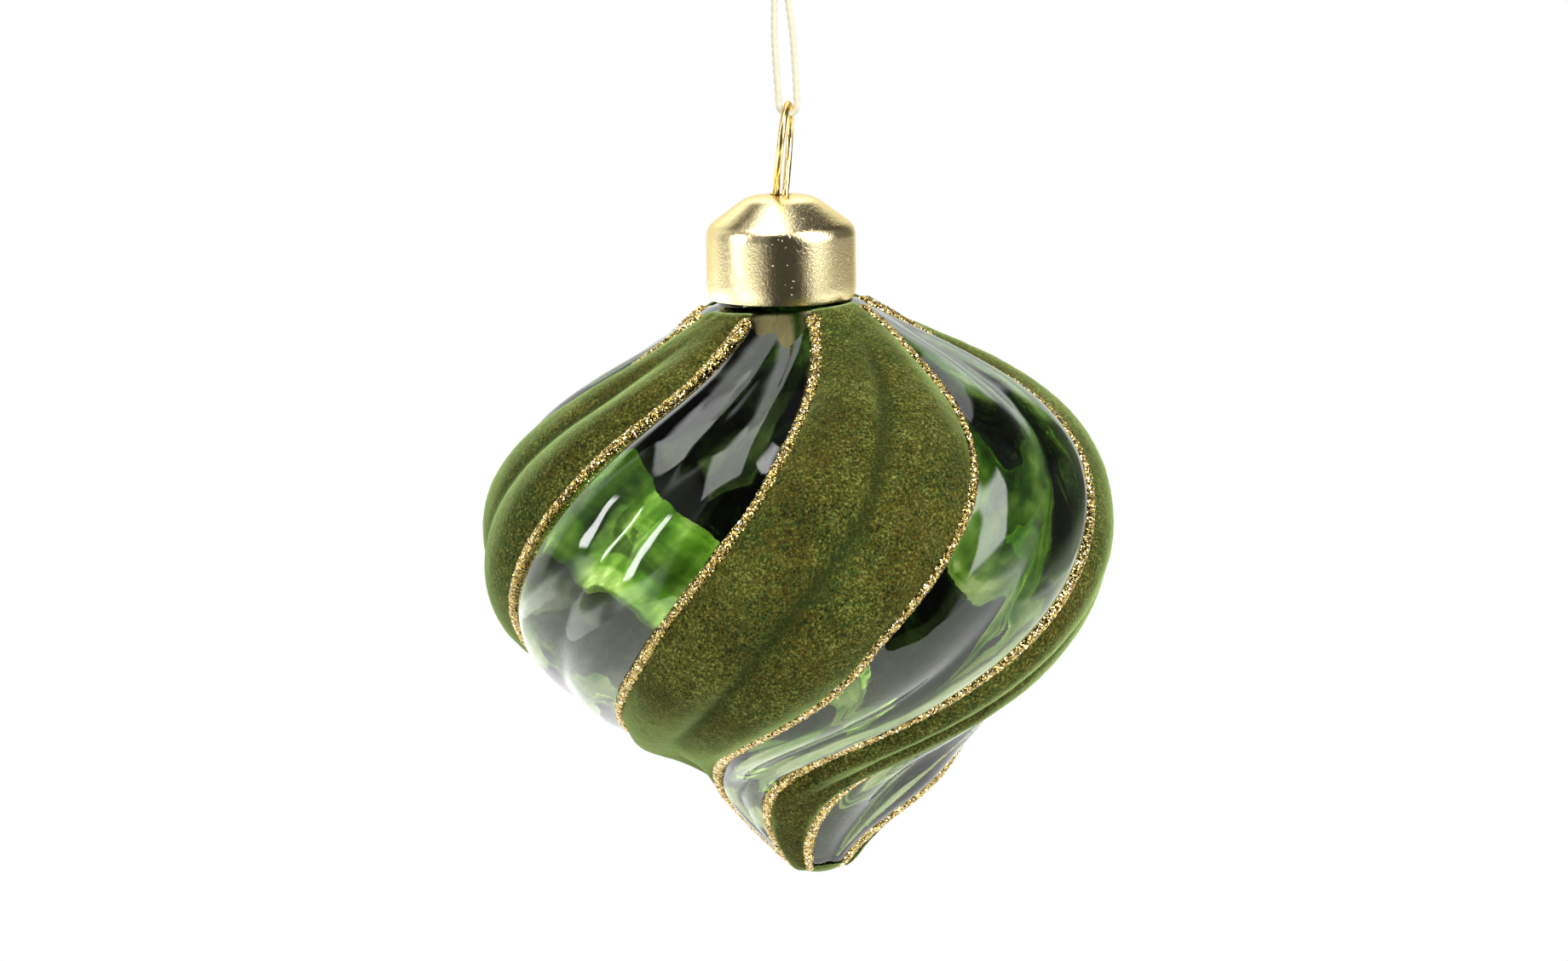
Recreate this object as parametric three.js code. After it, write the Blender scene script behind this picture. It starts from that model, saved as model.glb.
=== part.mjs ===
import * as THREE from 'three';
import { mergeVertices } from 'three/addons/utils/BufferGeometryUtils.js';

// A mould-blown glass ornament with twisted flutes, hung by a sprung wire loop and a thread.
// Millimetres and degrees. +Z is up, -Y faces the viewer, and the origin is where the thread hangs.

// Outline of the blown body, measured down from the shoulder line just below the cap's rim
const shoulderRadius = 9.6;
const shoulderAngle = 56.3;
const bellyRadius = 39.8;
const bellyDrop = 29.9;
const flankRadius = 17.9;
const flankDrop = 57.3;
const flankAngle = 56.8;
const bodyDrop = 73.6;
const tipBall = 6.5;
const tipAngle = 40;

// How far each end of the outline's curves pulls, as a share of the curve's height
const shoulderPull = 0.29;
const upperBellyPull = 0.59;
const lowerBellyPull = 0.53;
const flankPull = 0.13;
const tipPull = 0.72;

// Neck that the cap stands on, and the wall of all the glass
const neckRadius = 8.1;
const neckFootRise = 0.35;
const innerFootDrop = 0.25;
const glassWall = 1.0;

// Flutes: bands round the body, each of a few lobes, that turn as they run down
const bandCount = 8;
const lobesPerBand = 2;
const borderGroove = 1.5;
const lobeGroove = 0.8;
const grooveFadeDrop = 9;
const grooveFullRadius = 12;
const innerGrooveShare = 0.7;
const patternStart = 22;
const twistCourse = [
  [0, 0],
  [0.136, 19],
  [0.3, 33],
  [0.46, 47.5],
  [0.58, 61],
  [0.68, 80.7],
  [0.76, 108],
  [0.83, 135],
  [0.91, 155],
  [1, 172],
];

// Flock on every second band, and glitter beads along the borders
const flockPile = 0.5;
const flockEdgeShare = 0.55;
const flockEndRadius = 2.9;
const beadWidth = 1.4;
const beadHeight = 0.95;
const beadCrownShare = 0.68;
const beadShoulderShare = 0.7;
const beadEndShare = 0.5;
const beadTopDrop = 1;
const beadEndRadius = 2.2;
const beadClearance = 0.08;
const coatGap = 0.06;
const tipFlockRadius = 1.9;
const tipFlockGap = 0.12;

// Pressed metal cap
const capRadius = 9.45;
const capSkirt = 9.0;
const capCone = 3.7;
const capFlatRadius = 4.25;
const capSheet = 0.4;
const capShoulderFillet = 1.4;
const capTopFillet = 1.1;
const capHoleRadius = 1.35;
const capRimLift = 0.8;
const capTilt = 3.0;
const seatGap = 0.3;

// Sprung wire hanger: two legs in the neck, two strands in the cap's hole and a leaning loop
const wireRadius = 0.44;
const loopHeight = 11.8;
const loopWidth = 8.8;
const loopLean = 8.6;
const hangerTurn = 7.9;
const strandOffset = 0.5;
const strandSpread = 0.46;
const legReach = 5;

// Leg stations, as shares of the room in the neck and of the reach below the shoulder line
const lowerLegCourse = [
  [0.88, 1],
  [1, 0.35],
];

// Leg stations, as shares of the room in the neck and of the lip's height
const upperLegCourse = [
  [0.97, 0.4],
  [0.62, 0.92],
];

// Loop stations, as shares of the strands' offset, of the way out to the loop's full width
// and of the loop's height above the cap
const loopCourse = [
  [1, 0, -0.034],
  [0.9, 0.22, 0.14],
  [0.4, 0.73, 0.38],
  [0, 1, 0.64],
  [0, 0.69, 0.88],
];

// Thread loop, with the hanging point under its knot
const threadRadius = 0.425;
const threadDrop = 15;
const bightRadius = 1.15;
const knotRadius = 1.0;
const knotGap = 0.3;

// Stations of one strand, as shares of the bight's radius and of the drop to the wire
const strandCourse = [
  [0.5, -0.06],
  [0.74, 0.13],
  [1, 0.4],
  [1.04, 0.67],
  [1.02, 0.88],
];

// How finely the curves are divided
const bandSteps = 8;
const rowsToBelly = 8;
const rowsToFlank = 7;
const rowsToTip = 5;
const rowsRoundTip = 3;
const filletSteps = 3;
const capSides = 40;
const barSides = 8;
const wireSteps = 60;
const threadSteps = 48;
const tipSides = 20;

const radians = THREE.MathUtils.degToRad;
const bandAngle = 360 / bandCount;
const capHeight = capSkirt + capCone;
const coneAngle = Math.atan2(capCone, capRadius - capFlatRadius);

// A smooth function through [place, value] stations
function smooth(stations) {
  const places = stations.map((station) => station[0]);
  const values = stations.map((station) => station[1]);
  const curve = new THREE.CubicInterpolant(places, values, 1);
  return (place) => curve.evaluate(place)[0];
}

const twistAt = smooth(twistCourse);

// Rows of the outline, each a point (radius, drop) with its outward direction
function outlineRow(curve, share) {
  const point = curve.getPoint(share);
  const along = curve.getTangent(share);
  const out = new THREE.Vector2(along.y, -along.x);
  return { radius: point.x, drop: point.y, out };
}

function bezierTo(start, startSlope, startShare, end, endSlope, endShare) {
  const down = end.y - start.y;
  const first = new THREE.Vector2(
    start.x + startSlope * startShare * down,
    start.y + startShare * down,
  );
  const second = new THREE.Vector2(
    end.x - endSlope * endShare * down,
    end.y - endShare * down,
  );
  return new THREE.CubicBezierCurve(start, first, second, end);
}

// The outline flares from the shoulder, turns in at the belly and again at the flank,
// and ends in a small ball
function outlineRows() {
  const shoulder = new THREE.Vector2(shoulderRadius, 0);
  const belly = new THREE.Vector2(bellyRadius, bellyDrop);
  const flank = new THREE.Vector2(flankRadius, flankDrop);
  const ballCentre = bodyDrop - tipBall;
  const tipEdge = new THREE.Vector2(
    tipBall * Math.cos(radians(tipAngle)),
    ballCentre + tipBall * Math.sin(radians(tipAngle)),
  );
  const shoulderSlope = Math.tan(radians(shoulderAngle));
  const flankSlope = -Math.tan(radians(flankAngle));
  const tipSlope = -Math.tan(radians(tipAngle));
  const toBelly = bezierTo(shoulder, shoulderSlope, shoulderPull, belly, 0, upperBellyPull);
  const toFlank = bezierTo(belly, 0, lowerBellyPull, flank, flankSlope, flankPull);
  const toTip = bezierTo(flank, flankSlope, flankPull, tipEdge, tipSlope, tipPull);
  const roundTip = new THREE.EllipseCurve(
    0, ballCentre, tipBall, tipBall, radians(tipAngle), Math.PI / 2,
  );
  const beadTop = beadTopDrop / (3 * shoulderPull * bellyDrop);
  const rows = [outlineRow(toBelly, 0), outlineRow(toBelly, beadTop)];
  const stretches = [
    [toBelly, rowsToBelly],
    [toFlank, rowsToFlank],
    [toTip, rowsToTip],
    [roundTip, rowsRoundTip],
  ];
  for (const [curve, count] of stretches) {
    for (let i = 1; i <= count; i += 1) {
      rows.push(outlineRow(curve, i / count));
    }
  }
  return rows;
}

// Depth of the flutes below the outline, across a band from 0 to 1
function grooveDepth(row, across) {
  const inBand = (across % 1) * lobesPerBand;
  const fromCrest = 2 * (inBand % 1) - 1;
  const nearest = Math.round(inBand) % lobesPerBand;
  const full = nearest === 0 ? borderGroove : lobeGroove;
  const neckFade = THREE.MathUtils.smoothstep(row.drop, -neckFootRise, grooveFadeDrop);
  const tipFade = Math.min(1, row.radius / grooveFullRadius);
  return full * fromCrest * fromCrest * neckFade * tipFade;
}

// A point at a row and an angle within a band, moved out along the outline's own direction
function glassPoint(row, band, angle, move) {
  const radius = row.radius + row.out.x * move;
  const drop = row.drop + row.out.y * move;
  const twist = twistAt(THREE.MathUtils.clamp(row.drop / bodyDrop, 0, 1));
  const turn = radians(patternStart - twist + band * bandAngle + angle - 90);
  return new THREE.Vector3(radius * Math.cos(turn), radius * Math.sin(turn), -drop);
}

function onGlass(row, band, angle, lift = 0) {
  return glassPoint(row, band, angle, lift - grooveDepth(row, angle / bandAngle));
}

function insideGlass(row, band, angle) {
  const depth = innerGrooveShare * grooveDepth(row, angle / bandAngle);
  return glassPoint(row, band, angle, -glassWall - depth);
}

// Angles of a band's columns: its border line, then from the bead's edge to the next one.
// Near the tip, where the beads fill the bands, the two edges stay apart
function columnAngles(radius) {
  const edge = THREE.MathUtils.radToDeg((beadWidth / 2 + beadClearance) / radius);
  const margin = Math.min(edge, 0.45 * bandAngle);
  const angles = [0];
  for (let i = 0; i <= bandSteps; i += 1) {
    angles.push(margin + ((bandAngle - 2 * margin) * i) / bandSteps);
  }
  return angles;
}

// Closed surfaces, built from rings and grids of points
class Surface {
  constructor() {
    this.points = [];
    this.faces = [];
  }

  addPoints(points) {
    const first = this.points.length;
    this.points.push(...points);
    return points.map((_, i) => first + i);
  }

  quad(a, b, c, d) {
    this.faces.push([a, b, c], [a, c, d]);
  }

  joinRings(upper, lower) {
    for (let i = 0; i < upper.length; i += 1) {
      const next = (i + 1) % upper.length;
      this.quad(upper[i], lower[i], lower[next], upper[next]);
    }
  }

  closeRing(ring, pole) {
    for (let i = 0; i < ring.length; i += 1) {
      this.faces.push([ring[i], pole, ring[(i + 1) % ring.length]]);
    }
  }

  turnedOver() {
    this.faces = this.faces.map(([a, b, c]) => [a, c, b]);
    return this;
  }

  geometry() {
    const geometry = new THREE.BufferGeometry();
    const flat = this.points.flatMap((point) => point.toArray());
    geometry.setAttribute('position', new THREE.Float32BufferAttribute(flat, 3));
    geometry.setIndex(this.faces.flat());
    geometry.computeVertexNormals();
    return geometry;
  }
}

function welded(geometry) {
  geometry.deleteAttribute('normal');
  geometry.deleteAttribute('uv');
  const joined = mergeVertices(geometry);
  joined.computeVertexNormals();
  return joined;
}

// A closed shell between an outer and an inner grid of points with the same rows and columns
function shellGeometry(outer, inner) {
  const surface = new Surface();
  const top = outer.map((row) => surface.addPoints(row));
  const base = inner.map((row) => surface.addPoints(row));
  const lastRow = outer.length - 1;
  const lastColumn = outer[0].length - 1;
  for (let i = 0; i < lastRow; i += 1) {
    for (let j = 0; j < lastColumn; j += 1) {
      surface.quad(top[i][j], top[i + 1][j], top[i + 1][j + 1], top[i][j + 1]);
      surface.quad(base[i][j], base[i][j + 1], base[i + 1][j + 1], base[i + 1][j]);
    }
    surface.quad(top[i][0], base[i][0], base[i + 1][0], top[i + 1][0]);
    const j = lastColumn;
    surface.quad(top[i][j], top[i + 1][j], base[i + 1][j], base[i][j]);
  }
  for (let j = 0; j < lastColumn; j += 1) {
    surface.quad(top[0][j], top[0][j + 1], base[0][j + 1], base[0][j]);
    const i = lastRow;
    surface.quad(top[i][j], base[i][j], base[i][j + 1], top[i][j + 1]);
  }
  return surface.geometry();
}

// How high the neck's lip can stand under the cone of the tilted cap
function neckLipHeight() {
  const tiltSine = Math.sin(radians(capTilt));
  const tiltCosine = Math.cos(radians(capTilt));
  const steepness = Math.tan(coneAngle);
  const sheetAndGap = (capSheet + seatGap) / Math.cos(coneAngle);
  const roomUnderCone = (capRadius - neckRadius) * steepness - sheetAndGap;
  const lostByTilt = neckRadius * tiltSine + capHeight * (1 - tiltCosine);
  const lostSideways = capHeight * tiltSine * steepness;
  return capRimLift + capSkirt + roomUnderCone - lostByTilt - lostSideways;
}

const bodyRows = outlineRows();

function neckRow(rise, wallShare) {
  return { radius: neckRadius - wallShare * glassWall, drop: -rise, out: new THREE.Vector2(1, 0) };
}

// Outer ring of the glass at a row, with every band's columns
function outerRing(row) {
  const angles = columnAngles(row.radius);
  const ring = [];
  for (let band = 0; band < bandCount; band += 1) {
    ring.push(...angles.map((angle) => onGlass(row, band, angle)));
  }
  return ring;
}

// Inner ring, with one column at each groove and each crest
const innerPerBand = 2 * lobesPerBand;

function innerRing(row, place) {
  const ring = [];
  for (let band = 0; band < bandCount; band += 1) {
    for (let i = 0; i < innerPerBand; i += 1) {
      ring.push(place(row, band, (bandAngle * i) / innerPerBand));
    }
  }
  return ring;
}

// The lip joins the many outer columns to the fewer inner ones
function joinLip(surface, outer, inner) {
  const share = outer.length / inner.length;
  for (let i = 0; i < inner.length; i += 1) {
    const from = Math.round(i * share);
    const to = Math.round((i + 1) * share);
    const middle = Math.floor((from + to) / 2);
    const next = (i + 1) % inner.length;
    for (let j = from; j < to; j += 1) {
      const near = j < middle ? inner[i] : inner[next];
      surface.faces.push([outer[j], outer[(j + 1) % outer.length], near]);
    }
    surface.faces.push([inner[i], outer[middle % outer.length], inner[next]]);
  }
}

function glassGeometry() {
  const surface = new Surface();
  const lip = neckLipHeight();
  const outerRows = [neckRow(lip, 0), neckRow(neckFootRise, 0), ...bodyRows.slice(0, -1)];
  const outer = outerRows.map((row) => surface.addPoints(outerRing(row)));
  for (let i = 0; i < outer.length - 1; i += 1) {
    surface.joinRings(outer[i], outer[i + 1]);
  }
  const [tip] = surface.addPoints([new THREE.Vector3(0, 0, -bodyDrop)]);
  surface.closeRing(outer.at(-1), tip);

  const onNeck = (row, band, angle) => glassPoint(row, band, angle, 0);
  const innerNeck = [neckRow(lip, 1), neckRow(-innerFootDrop, 1)];
  const everySecond = bodyRows.slice(0, -1).filter((_, i) => i % 2 === 0);
  const inner = [
    ...innerNeck.map((row) => surface.addPoints(innerRing(row, onNeck))),
    ...everySecond.map((row) => surface.addPoints(innerRing(row, insideGlass))),
  ];
  for (let i = 0; i < inner.length - 1; i += 1) {
    surface.joinRings(inner[i].toReversed(), inner[i + 1].toReversed());
  }
  const [innerTip] = surface.addPoints([new THREE.Vector3(0, 0, glassWall - bodyDrop)]);
  surface.closeRing(inner.at(-1).toReversed(), innerTip);
  joinLip(surface, outer[0], inner[0]);
  return surface.geometry();
}

// Flock over a band, thinner along its two edges
function flockGeometry(band) {
  const rows = bodyRows.filter((row) => row.radius > flockEndRadius);
  const grid = (lifts) => rows.map((row) => {
    const angles = columnAngles(row.radius).slice(1);
    return angles.map((angle, i) => onGlass(row, band, angle, lifts[i]));
  });
  const base = Array(bandSteps + 1).fill(coatGap);
  const pile = base.map((lift, i) => {
    const atEdge = i === 0 || i === bandSteps;
    return lift + (atEdge ? flockEdgeShare : 1) * flockPile;
  });
  return shellGeometry(grid(pile), grid(base));
}

// Glitter bead along the line before a band, narrower at both ends
function beadGeometry(band) {
  const rows = bodyRows.slice(1).filter((row) => row.radius > beadEndRadius);
  const widest = beadWidth / (beadWidth + 2 * beadClearance);
  const spot = (row, side, width, lift) => {
    const edge = columnAngles(row.radius)[1];
    const line = onGlass(row, band, 0, lift);
    const before = onGlass(row, band - 1, bandAngle - edge, lift);
    const after = onGlass(row, band, edge, lift);
    return line.clone().lerp(side < 0 ? before : after, Math.abs(side) * width);
  };
  const grid = (width, crown, shoulder) => rows.map((row, i) => {
    const taper = i === 0 || i === rows.length - 1 ? beadEndShare : 1;
    return [-1, 0, 1].map((side) => {
      const lift = side === 0 ? crown : shoulder;
      return spot(row, side, width * taper, coatGap + lift * taper);
    });
  });
  const top = grid(beadCrownShare * widest, beadHeight, beadShoulderShare * beadHeight);
  return shellGeometry(top, grid(widest, 0, 0));
}

// Flock on the very tip, between the ends of the beads
function tipFlockGeometry() {
  const reach = Math.asin(tipFlockRadius / tipBall);
  const arc = (radius, share) => new THREE.Vector2(
    radius * Math.sin(reach * share),
    tipBall - bodyDrop - radius * Math.cos(reach * share),
  );
  const inside = tipBall + tipFlockGap;
  const outside = inside + flockPile;
  const outer = [0, 0.5, 0.9].map((share) => arc(outside, share));
  const inner = [1, 0.5, 0].map((share) => arc(inside, share));
  return latheSolid([...outer, ...inner], tipSides);
}

// A lathe about +Z from (radius, height) points
function latheSolid(profile, sides) {
  const geometry = new THREE.LatheGeometry(profile, sides);
  geometry.rotateX(Math.PI / 2);
  return welded(geometry);
}

// The cap's outline at a depth inside its outer face, with rounded corners
function capOutline(inset) {
  const wall = new THREE.Vector2(capRadius - inset, 0);
  const shoulder = new THREE.Vector2(
    capRadius - inset,
    capSkirt - inset * Math.tan((Math.PI / 2 - coneAngle) / 2),
  );
  const brow = new THREE.Vector2(
    capFlatRadius - inset * Math.tan(coneAngle / 2),
    capHeight - inset,
  );
  const hole = new THREE.Vector2(capHoleRadius, capHeight - inset);
  return [
    wall,
    ...roundedCorner(wall, shoulder, brow, capShoulderFillet - inset),
    ...roundedCorner(shoulder, brow, hole, capTopFillet - inset),
    hole,
  ];
}

function roundedCorner(before, corner, after, reach) {
  const start = corner.clone().add(before.clone().sub(corner).setLength(reach));
  const end = corner.clone().add(after.clone().sub(corner).setLength(reach));
  return new THREE.QuadraticBezierCurve(start, corner, end).getPoints(filletSteps);
}

function capGeometry() {
  const outside = capOutline(0);
  const inside = capOutline(capSheet).reverse();
  return latheSolid([...outside, ...inside, outside[0]], capSides);
}

// A round bar along a path, with flat ends
function barGeometry(path, radius, steps) {
  const section = new THREE.Shape();
  for (let i = 0; i < barSides; i += 1) {
    const angle = (2 * Math.PI * i) / barSides;
    const corner = [radius * Math.cos(angle), radius * Math.sin(angle)];
    if (i === 0) {
      section.moveTo(...corner);
    } else {
      section.lineTo(...corner);
    }
  }
  section.closePath();
  const options = { steps, extrudePath: path, curveSegments: 1 };
  return welded(new THREE.ExtrudeGeometry(section, options));
}

// Places of the hanging parts, in the plane that the wire loop turns with the thread
const loopTop = new THREE.Vector3(0, 0, -threadDrop);
const leanUp = new THREE.Vector3(Math.sin(radians(loopLean)), 0, Math.cos(radians(loopLean)));
const capUp = new THREE.Vector3(Math.sin(radians(capTilt)), 0, Math.cos(radians(capTilt)));
const capTop = loopTop.clone().addScaledVector(leanUp, -loopHeight);
const rimCentre = capTop.clone().addScaledVector(capUp, -capHeight);
const bodyPlace = rimCentre.clone().setZ(rimCentre.z - capRimLift);

// Half of the wire, from the foot of a leg to where the loop closes, on one side or the other
function wireHalf(side) {
  const roomInNeck = neckRadius - glassWall - seatGap - wireRadius;
  const leg = (share, height) => new THREE.Vector3(
    bodyPlace.x,
    side * share * roomInNeck,
    bodyPlace.z + height,
  );
  const loop = (offsetShare, widthShare, heightShare) => {
    const offset = side * offsetShare * strandOffset;
    const width = side * THREE.MathUtils.lerp(strandSpread, loopWidth / 2, widthShare);
    const point = capTop.clone().addScaledVector(leanUp, heightShare * loopHeight);
    return point.add(new THREE.Vector3(offset, width, 0));
  };
  const lip = neckLipHeight();
  return [
    ...lowerLegCourse.map(([share, down]) => leg(share, -down * legReach)),
    ...upperLegCourse.map(([share, up]) => leg(share, up * lip)),
    ...loopCourse.map((station) => loop(...station)),
  ];
}

function wirePath() {
  return new THREE.CatmullRomCurve3([...wireHalf(1), loopTop, ...wireHalf(-1).reverse()]);
}

// Thread: down one side, under the wire and up the other side
function threadPath() {
  const strand = (side) => strandCourse.map(([out, down]) => new THREE.Vector3(
    side * out * bightRadius,
    0,
    -down * threadDrop,
  ));
  const bight = [0, 30, 60, 90, 120, 150, 180].map((angle) => new THREE.Vector3(
    -bightRadius * Math.cos(radians(angle)),
    0,
    -threadDrop - bightRadius * Math.sin(radians(angle)),
  ));
  return new THREE.CatmullRomCurve3([...strand(-1), ...bight, ...strand(1).reverse()]);
}

// The knot stands on edge, a hair above the ends of the two strands
function knotGeometry() {
  const geometry = new THREE.TorusKnotGeometry(knotRadius, threadRadius, 44, 6, 2, 3);
  geometry.rotateX(Math.PI / 2);
  return welded(geometry);
}

const strandTop = -strandCourse[0][1] * threadDrop;
const knotReach = 1.5 * knotRadius + threadRadius;

const glassLook = new THREE.MeshStandardMaterial({
  color: 0x1f4a12, roughness: 0.05, metalness: 0, transparent: true, opacity: 0.6,
});
const flockLook = new THREE.MeshStandardMaterial({ color: 0x4a5c22, roughness: 1, metalness: 0 });
const glitterLook = new THREE.MeshStandardMaterial({ color: 0xcfa850, roughness: 0.35, metalness: 0.9 });
const capLook = new THREE.MeshStandardMaterial({ color: 0xcdb981, roughness: 0.35, metalness: 1 });
const wireLook = new THREE.MeshStandardMaterial({ color: 0xd0a045, roughness: 0.12, metalness: 1 });
const threadLook = new THREE.MeshStandardMaterial({ color: 0xf3e6bf, roughness: 0.7, metalness: 0 });

function named(name, geometry, material) {
  const mesh = new THREE.Mesh(geometry, material);
  mesh.name = name;
  return mesh;
}

// The blown body with its coats, turned so that its pattern keeps its own bearing
const body = new THREE.Group();
body.position.copy(bodyPlace);
body.rotation.z = radians(hangerTurn);
body.add(named('glass_bauble', glassGeometry(), glassLook));
for (let band = 0; band < bandCount; band += 2) {
  body.add(named(`flock_band_${band / 2 + 1}`, flockGeometry(band), flockLook));
}
body.add(named('flock_tip', tipFlockGeometry(), flockLook));
for (let band = 0; band < bandCount; band += 1) {
  body.add(named(`glitter_line_${band + 1}`, beadGeometry(band), glitterLook));
}

const cap = named('cap', capGeometry(), capLook);
cap.position.copy(rimCentre);
cap.rotation.y = radians(capTilt);

const wire = named('hanger_wire', barGeometry(wirePath(), wireRadius, wireSteps), wireLook);
const thread = named('hanging_thread', barGeometry(threadPath(), threadRadius, threadSteps), threadLook);
const knot = named('thread_knot', knotGeometry(), threadLook);
knot.position.z = strandTop + knotGap + knotReach;

const ornament = new THREE.Group();
ornament.rotation.z = radians(-hangerTurn);
ornament.add(body, cap, wire, thread, knot);

const group = new THREE.Group();
group.add(ornament);

export default group;
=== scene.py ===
# %% [markdown]
# # A twisted glass ornament
# This file dresses a hanging ornament of mould-blown green glass: flocked bands, lines of gold
# glitter, a pressed metal cap, a sprung wire loop and a thread. The solids come from the CAD
# frame, and each piece made here stands where its solid stands. Lengths in the helpers are in
# millimetres, because that is how the ornament was measured, and meshes are in metres.

# %% Load the frame
from math import asin, cos, hypot, pi, radians, sin, tan

import bpy
import numpy as np
from mathutils import Matrix, Vector, noise


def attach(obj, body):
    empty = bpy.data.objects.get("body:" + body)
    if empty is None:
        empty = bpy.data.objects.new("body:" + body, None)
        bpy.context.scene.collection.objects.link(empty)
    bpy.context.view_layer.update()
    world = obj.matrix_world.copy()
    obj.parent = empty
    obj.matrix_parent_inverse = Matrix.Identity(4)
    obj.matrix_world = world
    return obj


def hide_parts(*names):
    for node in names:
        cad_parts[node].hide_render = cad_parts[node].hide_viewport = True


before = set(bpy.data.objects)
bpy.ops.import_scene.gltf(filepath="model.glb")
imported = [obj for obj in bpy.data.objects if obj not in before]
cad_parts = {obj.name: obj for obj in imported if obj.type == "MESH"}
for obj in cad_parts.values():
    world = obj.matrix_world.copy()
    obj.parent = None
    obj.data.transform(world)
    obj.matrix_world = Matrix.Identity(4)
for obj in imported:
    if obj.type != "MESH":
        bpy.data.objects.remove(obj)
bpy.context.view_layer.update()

MM = 0.001
bpy.ops.object.select_all(action="DESELECT")

# %% [markdown]
# The main places of the ornament, in millimetres. The hanger turns a little about the thread,
# the wire loop leans, and the cap sits slightly askew on the neck, as on the real one.

# %% Main places
THREAD_DROP = 15.0
LOOP_HEIGHT = 11.8
LOOP_LEAN = radians(8.6)
CAP_TILT = radians(3.0)
HANGER_TURN = radians(7.9)
CAP_SKIRT = 9.0
CAP_CONE = 3.7
CAP_RIM_LIFT = 0.8
BODY_DROP = 73.6

turned = Matrix.Rotation(-HANGER_TURN, 3, "Z")
loop_up = Vector((sin(LOOP_LEAN), 0, cos(LOOP_LEAN)))
cap_up = Vector((sin(CAP_TILT), 0, cos(CAP_TILT)))
wire_top = Vector((0, 0, -THREAD_DROP))
cap_top = wire_top - loop_up * LOOP_HEIGHT
rim_centre = cap_top - cap_up * (CAP_SKIRT + CAP_CONE)
body_place = turned @ (rim_centre - Vector((0, 0, CAP_RIM_LIFT)))
print("shoulder line at", tuple(round(v, 3) for v in body_place))

# %% [markdown]
# ## Camera
# The ornament was photographed from about 70 cm with a long lens, a little from above, and it
# hangs slightly askew in the picture. The camera looks at a point on the body's axis, is rolled,
# and is then turned by a hair so that this point lands where it is in the picture.

# %% Camera
IMAGE = (1840, 1128)
AIM_PIXEL = (940.8, 701.6)
AIM_DEPTH = 38.0
DISTANCE = 700.0
ELEVATION = radians(10.5)
ROLL = radians(3.8)
FOCAL_PIXELS = 6429.0

aim = (body_place - Vector((0, 0, AIM_DEPTH))) * MM
back = Vector((0, -cos(ELEVATION), sin(ELEVATION)))
off_axis = Vector((
    (AIM_PIXEL[0] - IMAGE[0] / 2) / FOCAL_PIXELS,
    (IMAGE[1] / 2 - AIM_PIXEL[1]) / FOCAL_PIXELS,
    -1,
))
bpy.ops.object.camera_add(location=aim + back * DISTANCE * MM)
camera = bpy.context.object
camera.name = "camera"
camera.rotation_mode = "QUATERNION"
camera.rotation_quaternion = (
    (-back).to_track_quat("-Z", "Y")
    @ Matrix.Rotation(-ROLL, 3, "Z").to_quaternion()
    @ off_axis.rotation_difference(Vector((0, 0, -1)))
)
camera.data.sensor_width = 36.0
camera.data.lens = FOCAL_PIXELS / IMAGE[0] * camera.data.sensor_width
camera.data.clip_start, camera.data.clip_end = 0.01, 50.0
bpy.context.scene.camera = camera
print("lens", round(camera.data.lens, 1), "mm")

# %% [markdown]
# ## Curves and meshes
# Wire and thread both run through a few given stations. The smooth line through them is a
# centripetal Catmull-Rom curve, which passes each station and never overshoots between two that
# are close together. Blender's own curves pull away from their points, so it is worked out here.

# %% A smooth line through stations
def smooth_line(stations, per_span=12):
    """Points on a centripetal Catmull-Rom curve through the stations."""
    p = [np.array(s, float) for s in stations]
    p = [2 * p[0] - p[1], *p, 2 * p[-1] - p[-2]]
    line = []
    for a, b, c, d in zip(p, p[1:], p[2:], p[3:]):
        before, span, after = (np.linalg.norm(v) ** 0.5 for v in (b - a, c - b, d - c))
        leave = (b - a) / before - (c - a) / (before + span) + (c - b) / span
        arrive = (c - b) / span - (d - b) / (span + after) + (d - c) / after
        for t in np.linspace(0, 1, per_span, endpoint=False):
            line.append(
                (2 * t**3 - 3 * t**2 + 1) * b
                + (t**3 - 2 * t**2 + t) * leave * span
                + (3 * t**2 - 2 * t**3) * c
                + (t**3 - t**2) * arrive * span
            )
    return np.array([*line, p[-2]])


def length_of(line):
    return float(np.linalg.norm(np.diff(line, axis=0), axis=1).sum())


def evenly(line, count):
    """The same line with evenly spaced points."""
    steps = np.linalg.norm(np.diff(line, axis=0), axis=1)
    places = np.concatenate([[0], np.cumsum(steps)])
    wanted = np.linspace(0, places[-1], count)
    return np.stack([np.interp(wanted, places, line[:, k]) for k in range(3)], 1)


# %% Meshes from points
def new_mesh(name, points, faces, smooth=True):
    """A mesh object at the origin, from points in millimetres."""
    mesh = bpy.data.meshes.new(name)
    mesh.from_pydata((np.asarray(points) * MM).tolist(), [], [list(f) for f in faces])
    mesh.polygons.foreach_set("use_smooth", [smooth] * len(mesh.polygons))
    made = bpy.data.objects.new(name, mesh)
    bpy.context.collection.objects.link(made)
    return made


def note(piece, name, values):
    """Keeps a number for each point of a piece, which its material can read."""
    values = np.asarray(values, float).reshape(len(piece.data.vertices), -1)
    kind, field = ("FLOAT", "value") if values.shape[1] == 1 else ("FLOAT_VECTOR", "vector")
    piece.data.attributes.new(name, kind, "POINT").data.foreach_set(field, values.ravel())


def grid_faces(rows, columns, closed=False, first=0, flip=False):
    """Quads over a grid of points, row by row, whose columns may close into rings."""
    i, j = np.meshgrid(np.arange(rows - 1), np.arange(columns - (not closed)), indexing="ij")
    across = (j + 1) % columns
    faces = np.stack([i * columns + j, (i + 1) * columns + j,
                      (i + 1) * columns + across, i * columns + across], -1).reshape(-1, 4)
    return (faces[:, ::-1] if flip else faces) + first


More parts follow.
